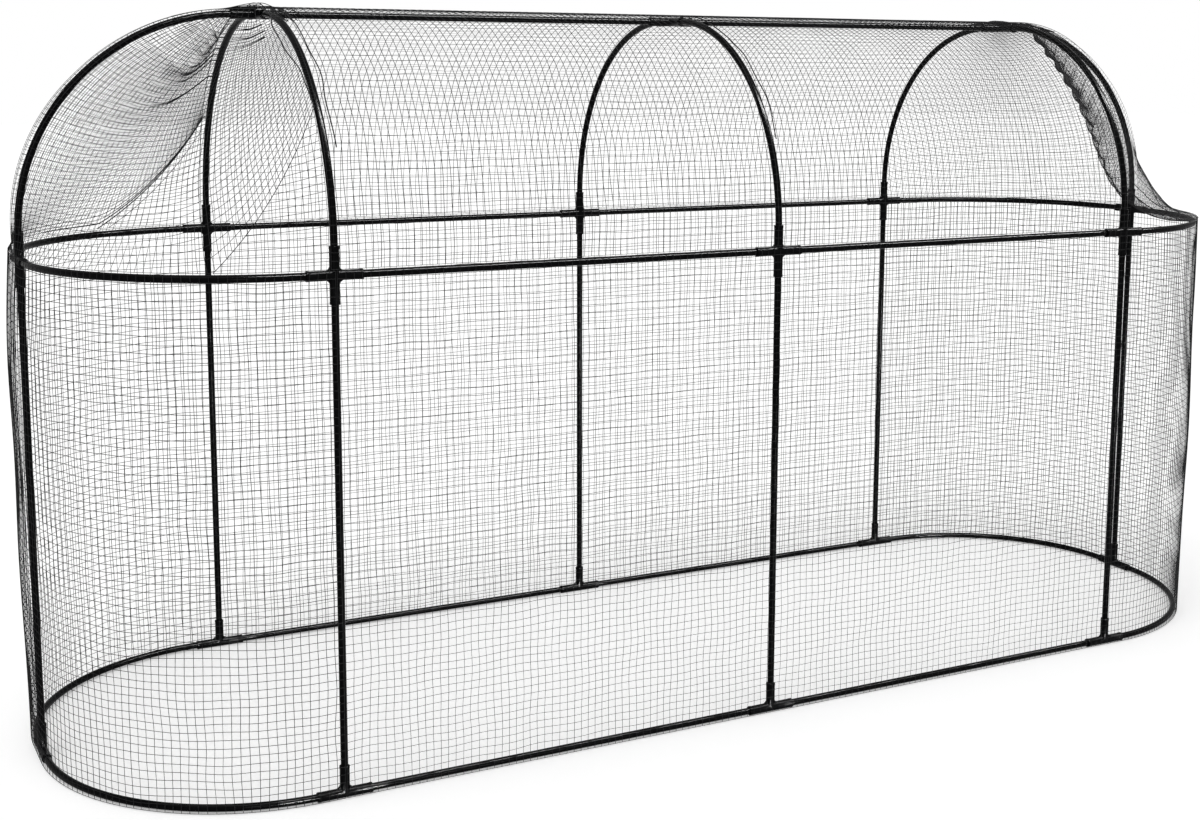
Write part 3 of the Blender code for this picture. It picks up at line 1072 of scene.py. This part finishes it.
def hood_lines(half):
    side = half[0]
    crown = hip_point(side, 0, 1.0, NET_OFFSET)
    lines = []
    for k in range(HOOD_COLUMNS[half] + 1):
        start = column_start(half, k)
        across = (k / HOOD_COLUMNS[half]) ** COLUMN_SPREAD.get(half, 1.0)
        line = film_column(half, across, low=start)
        lines.append([crown, *line] if start == 0 and k % 4 == 0 else line)
    rim = film_row(half, down=0)
    lines += [rim + (np.array(crown) - rim) * near for near in CROWN_ROWS]
    for down in (*share_steps(HOOD_ROWS[half]), *EXTRA_ROWS.get(half, [])):
        lines.append(tied(side, film_row(half, down)))
    return lines


hoods = {half: hood_lines(half) for half in CREASES}
print("strands in each half:", [len(lines) for lines in hoods.values()])

# %% [markdown]
# ## Corners below the creases
#
# A corner is a triangle between the arch, the ring and the crease. Its surface is the sum of a
# place up the arch and a place along the ring, corrected so that its third side is the crease.

# %% Corner nets
CORNER_POINTS = 24
CORNER_FOOT = 1e-6


def corner_surface(half):
    """The corner as a function of shares along the ring (u) and up the arch (v)."""
    arch_share, ring_share = CREASES[half]
    first = (ARCH_HEM + SEAM_STEP) / BEND_LENGTH
    crease = crease_line(half, CORNER_POINTS)
    foot = arch_edge(half, HEM_SHARE)

    def up_arch(v):
        return arch_edge(half, HEM_SHARE + v * (arch_share - HEM_SHARE))

    def along_ring(u):
        return ring_edge(half, first + u * (ring_share - first))

    def surface(u, v):
        reach = u + v
        if reach < CORNER_FOOT:
            return foot
        place = clamp(u / reach) * CORNER_POINTS
        k = min(int(place), CORNER_POINTS - 1)
        edge = crease[k].lerp(crease[k + 1], place - k)
        t = 1 - place / CORNER_POINTS
        miss = edge - (up_arch(t) + along_ring(1 - t) - foot)
        return up_arch(v) + along_ring(u) - foot + miss * reach * reach

    return surface, arch_share * BEND_LENGTH, ring_share * BEND_LENGTH


def corner_lines(half):
    """Strands both ways over a corner, each as far as the crease."""
    surface, height, width = corner_surface(half)
    lines = []
    for u in evenly(1, MESH_PITCH / width):
        lines.append([surface(u, v) for v in share_steps(CORNER_POINTS, 0, 1 - u)])
    for v in evenly(1, MESH_PITCH / height):
        lines.append([surface(u, v) for u in share_steps(CORNER_POINTS, 0, 1 - v)])
    return lines


corners = {half: corner_lines(half) for half in (LEFT_FRONT, LEFT_BACK, RIGHT_BACK)}
print("strands in each corner:", [len(lines) for lines in corners.values()])

# %% Hood nets
HOOD_STRAND_RADIUS = 0.00051
HOOD_THICKNESS = {LEFT_FRONT: 1.25}
CORNER_THICKNESS = 1.2

for side in (-1, 1):
    strands, thickness = [], []
    for half in ((side, -1), (side, 1)):
        strands += hoods[half]
        thickness += [HOOD_THICKNESS.get(half, 1.0)] * len(hoods[half])
    for half in ((side, -1), (side, 1)):
        corner = corners.get(half, [])
        strands += corner
        thickness += [CORNER_THICKNESS] * len(corner)
    put_net(f"net_{SIDE_NAMES[side]}_hood", strands, HOOD_STRAND_RADIUS, thickness)

# %% [markdown]
# ## Edge cords
#
# A net is finished with a thicker cord at its edge. It shows as a dark line along the creases and
# at the loose edge of the right hood. Some strands could be made thicker, but the creases cross
# the strands, so the cords are curves of their own on the same films.


# %% Cord helpers
def put_cords(name, lines, radius, thickness=None):
    """Adds cords that the CAD model doesn't have."""
    data = net_curve(name, lines, radius, thickness)
    data.bevel_resolution = 1
    data.materials.append(net_cord)
    obj = add_object(name, data)
    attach(obj, "root")
    print(name, "cords:", len(lines))


def corner_parallel(half, reach):
    """A line in a corner piece beside the crease."""
    surface, _, _ = corner_surface(half)
    return [surface(reach * s, reach * (1 - s)) for s in share_steps(CORNER_POINTS)]


def end_fold(side, offset):
    """An upright fold in an end wall, at a distance round the wall from the end post."""
    surface = end_surface(side)
    return [surface(END_LENGTH / 2 + offset, WALL_HEIGHT * s) for s in share_steps(HOOD_POINTS)]


# %% Crease cords and thin folds
CORD_RADIUS = 0.0016
THIN_CORD = 0.0009
CREASE_POINTS = 30
FINE_GAPS = 3 * HOOD_POINTS
SILHOUETTE_ACROSS = 0.16
LOOSE_FOLDS = [0.56, 0.66, 0.76, 0.86]
END_FOLDS = [0.11, 0.05, -0.035]

thick_cords = [
    crease_line(LEFT_BACK, CREASE_POINTS),
    film_row(LEFT_BACK, down=0.985, high=0.6),
    film_column(RIGHT_FRONT, SILHOUETTE_ACROSS, high=0.9, gaps=FINE_GAPS),
    film_row(RIGHT_FRONT, down=1.0, high=0.5),
]
thin_cords = [crease_line(LEFT_FRONT, CREASE_POINTS), corner_parallel(LEFT_BACK, reach=0.88)]
thin_cords += [film_column(RIGHT_FRONT, across, low=0.74, gaps=FINE_GAPS) for across in LOOSE_FOLDS]
thin_cords += [end_fold(-1, offset) for offset in END_FOLDS]
put_cords("net_crease_cords", thick_cords, CORD_RADIUS)
put_cords("net_thin_cords", thin_cords, THIN_CORD)

# %% [markdown]
# ## Swags and gathers
#
# Where cloth is bunched, many strands lie on each other and read as one dark line that thins out.
# So a swag is a few cords that start together at the arch, fan out a little and taper away. Over
# the crowns the cloth is gathered and stands up in a small peak.

# %% Swags
SWAG_CORD = 0.0015
SWAG_FAN = 0.012
SWAG_TAPER = 0.7
SWAG_POINTS = 40

# Half, place on the hip's edge, where it starts and ends across, strands
SWAGS = [
    (LEFT_BACK, 0.06, 0.20, 0.85, 2),
    (LEFT_BACK, 0.10, 0.08, 0.55, 2),
    (LEFT_BACK, 0.145, 0.00, 0.62, 3),
    (LEFT_BACK, 0.22, 0.00, 0.55, 3),
    (LEFT_BACK, 0.265, 0.00, 0.68, 4),
    (LEFT_BACK, 0.31, 0.00, 0.45, 3),
    (LEFT_BACK, 0.445, 0.00, 0.50, 4),
    (LEFT_FRONT, 0.075, 0.10, 0.62, 2),
    (LEFT_FRONT, 0.135, 0.09, 0.45, 2),
    (LEFT_FRONT, 0.19, 0.10, 0.40, 1),
]

swags, swag_thickness = [], []
for half, place, low, high, count in SWAGS:
    across = np.linspace(low, high, SWAG_POINTS)
    away = (across - low) / (high - low)
    taper = list(1 - SWAG_TAPER * away)
    for k in range(count):
        spread = SWAG_FAN * (k - (count - 1) / 2) * away
        line = hood_places(half, place + spread, across)
        swags.append(tied(-1, line) if low == 0 else line)
        swag_thickness.append([1.0, *taper] if low == 0 else taper)
put_cords("net_swags", swags, SWAG_CORD, swag_thickness)

# %% Gathers over the crowns
GATHER_CORD = 0.0010
GATHER_START = 0.78
GATHER_SWAY = 0.4
GATHER_RISE = 0.006
HIP_FAN = 4
HIP_STEPS, ARCH_STEPS = 20, 40
PEAK = {-1: 0.015, 1: 0.009}
PEAK_START = 0.90

# How many times shorter than an arch the way is in which a gather leans over and fans out
LEAN_QUICKNESS, FAN_QUICKNESS = 12, 8

# How fast the noise changes along a cord, and from cord to cord
SWAY_PACE, RISE_PACE = (9, 1.7), (14, 2.3)
RISE_SEED = 5

# Half, end of the cords on the arch, cords, width, lean along the cage, seed
GATHERS = [
    (LEFT_BACK, 0.84, 7, 0.024, -0.008, 3),
    (LEFT_FRONT, 0.74, 7, 0.034, 0.014, 4),
    (LEFT_FRONT, 0.80, 3, 0.030, 0.044, 11),
    (RIGHT_FRONT, 0.84, 9, 0.040, -0.004, 7),
    (RIGHT_BACK, 0.84, 9, 0.040, -0.004, 8),
]


def peak_rise(side, share):
    """The gathered cloth stands up where the tubes cross."""
    rise = max(0.0, (share - PEAK_START) / (1 - PEAK_START))
    return PEAK[side] * (1 - cos(pi * rise)) / 2


def unevenness(share, k, pace, seed):
    return noise.noise(Vector((share * pace[0], k * pace[1], seed)))


gathers = []
for (side, face), low, count, width, lean, seed in GATHERS:
    for k in range(count):
        place = (k / max(1, count - 1) - 0.5) * width
        layer = (1 - k / count) ** 2
        line = []
        for share in share_steps(HIP_STEPS, GATHER_START, 1.0):
            rise = peak_rise(side, share) * layer
            beside = face * abs(place) * (1 - share) * HIP_FAN
            line.append(hip_point(side, beside, share, NET_OFFSET + rise))
        for share in share_steps(ARCH_STEPS, 1.0, low):
            sway = GATHER_SWAY * width * unevenness(share, k, SWAY_PACE, seed)
            rise = GATHER_RISE * abs(unevenness(share, k, RISE_PACE, seed + RISE_SEED))
            rise += peak_rise(side, share) * layer
            shift = lean * min(1, (1 - share) * LEAN_QUICKNESS)
            shift += (place + sway) * min(1, (1 - share) * FAN_QUICKNESS)
            line.append(arch_point(side * BAY_LENGTH + shift, face, share, NET_OFFSET + rise))
        gathers.append(line)
put_cords("net_crown_gathers", gathers, GATHER_CORD)

# %% [markdown]
# ## Seams
#
# Beside the arches two pieces of net are joined by a cord that lies in loose waves. Noise could
# make them, but it is hard to steer, so the cord is eased between a few listed places.

# %% Seam cords
# Where an arch is, and places beside its front half: share of the bend, offset along the cage
SEAMS = [
    (-BAY_LENGTH, [(1.0, 0.006), (0.85, 0.014), (0.72, 0.018), (0.6, 0.016), (0.5, 0.024),
                   (0.42, 0.017), (0.3, 0.021)]),
    (-BAY_LENGTH, [(0.9, -0.018), (0.78, -0.028), (0.68, -0.045), (0.6, -0.042), (0.5, -0.022),
                   (0.4, -0.014)]),
    (0, [(0.9, 0.006), (0.72, 0.002), (0.65, 0.006), (0.58, 0.013), (0.5, 0.010), (0.42, 0.016),
         (0.3, 0.008)]),
]
SEAM_POINTS = 60
SEAM_HEIGHT = 0.004


def seam(x, places):
    """A wavy cord beside an arch, eased between the given places."""
    line = []
    for k in range(SEAM_POINTS + 1):
        at = k / SEAM_POINTS * (len(places) - 1)
        i = min(int(at), len(places) - 2)
        ease = (1 - cos(pi * (at - i))) / 2
        share = places[i][0] + (places[i + 1][0] - places[i][0]) * (at - i)
        shift = places[i][1] + (places[i + 1][1] - places[i][1]) * ease
        line.append(arch_point(x + shift, -1, share, NET_OFFSET + SEAM_HEIGHT))
    return line


put_cords("net_seams", [seam(x, places) for x, places in SEAMS], CORD_RADIUS)

# %% [markdown]
# ## A shared effect: seen or lighting
#
# The picture is a plain studio shot on white. Floor and sky have to look whiter than the light
# they give, or the cage would be lit too strongly. So a group tells apart the rays that see a
# surface, straight or in a reflection, from those that only gather light.

# %% Seen group
seen_group, _, result = start_group("seen", {}, {"Seen": "Float"})
path = add_node(seen_group, "LightPath")
seen, output = path, "Is Camera Ray"
for ray in ("Is Glossy Ray", "Is Transmission Ray"):
    either = add_node(seen_group, "Math", operation="MAXIMUM")
    wire(seen_group, (seen, output, either, 0), (path, ray, either, 1))
    seen, output = either, 0
wire(seen_group, (seen, output, result, "Seen"))
print("nodes in the group:", len(seen_group.nodes))


# %% Strength where seen
def strength_when(tree, shader, strength, unseen, seen):
    """Gives a shader one strength where it is seen and another where it only lights."""
    ray = add_node(tree, "Group", node_tree=seen_group)
    level = add_node(tree, "MapRange", {"To Min": unseen, "To Max": seen})
    wire(tree, (ray, "Seen", level, "Value"), (level, "Result", shader, strength))


# %% [markdown]
# ## Floor
#
# The floor is pale and takes the cage's soft shadow. A little light of its own, where it is seen,
# lifts it to white.

# %% Floor
FLOOR_HALF = 40.0
FLOOR_GREY = (0.78, 0.78, 0.78, 1)
FLOOR_ROUGHNESS = 0.9
FLOOR_GLOW = 0.29
WHITE = (1, 1, 1, 1)

floor_corners = [(x * FLOOR_HALF, y * FLOOR_HALF, 0) for x, y in ((-1, -1), (1, -1), (1, 1), (-1, 1))]
floor_mesh = bpy.data.meshes.new("floor")
floor_mesh.from_pydata(floor_corners, [], [(0, 1, 2, 3)])
floor = add_object("floor", floor_mesh)

floor_paint, floor_tree, floor_shader = start_material("floor_paint")
set_inputs(floor_shader, {"Base Color": FLOOR_GREY, "Roughness": FLOOR_ROUGHNESS})
set_inputs(floor_shader, {"Specular IOR Level": 0.0, "Emission Color": WHITE})
strength_when(floor_tree, floor_shader, "Emission Strength", unseen=0.0, seen=FLOOR_GLOW)
floor_mesh.materials.append(floor_paint)
print("floor covers", 2 * FLOOR_HALF, "m square")

# %% [markdown]
# ## Sky and sun
#
# A studio lights such a shot from all sides with large diffusers. An even white sky stands for
# them, and a sun as wide as a big softbox gives the faint direction that the shadow shows.

# %% Sky and sun
SKY_SHARE = 0.55
SUN_SHARE = 0.50
SUN_WIDTH = 50
SUN_DIRECTION = Vector((0.35, 0.3, -1))


def aim(lamp, direction):
    lamp.rotation_mode = "QUATERNION"
    lamp.rotation_quaternion = direction.to_track_quat("-Z", "Y")


world = bpy.data.worlds.new("studio")
bpy.context.scene.world = world
world.use_nodes = True
backdrop = world.node_tree.nodes["Background"]
set_inputs(backdrop, {"Color": WHITE})
strength_when(world.node_tree, backdrop, "Strength", unseen=SKY_SHARE, seen=1.0)

sun_data = bpy.data.lights.new("soft_sun", "SUN")
sun_data.energy = SUN_SHARE * pi
sun_data.angle = radians(SUN_WIDTH)
aim(add_object("soft_sun", sun_data), SUN_DIRECTION)
print("sun's strength:", round(sun_data.energy, 3))

# %% [markdown]
# ## Highlight strips
#
# Thin lines of light run along the black tubes. A studio makes them with long narrow lamps. Here
# those lamps are kept out of the diffuse light, so they draw their lines and change nothing else.

# %% Strip lamps
# Name, place, where it shines, length and width, radiance, spread in degrees
STRIPS = [
    ("top_strip", (2.4, -2.3, 5.3), (2.4, -0.6, 1.3), (8.0, 0.7), 360, 180),
    ("floor_strip", (2.0, -4.2, 0.1), (2.0, -0.6, 0.02), (7.0, 0.3), 50, 24),
    ("front_strip", (-3.0, -5.3, 1.3), (0.0, -0.6, 1.0), (0.4, 2.6), 12, 180),
]
for name, place, target, size, radiance, spread in STRIPS:
    data = bpy.data.lights.new(name, "AREA")
    data.shape = "RECTANGLE"
    data.size, data.size_y = size
    data.spread = radians(spread)
    data.energy = radiance * pi * size[0] * size[1]
    lamp = add_object(name, data)
    lamp.location = place
    aim(lamp, Vector(target) - Vector(place))
    lamp.visible_diffuse = False
    lamp.visible_camera = False
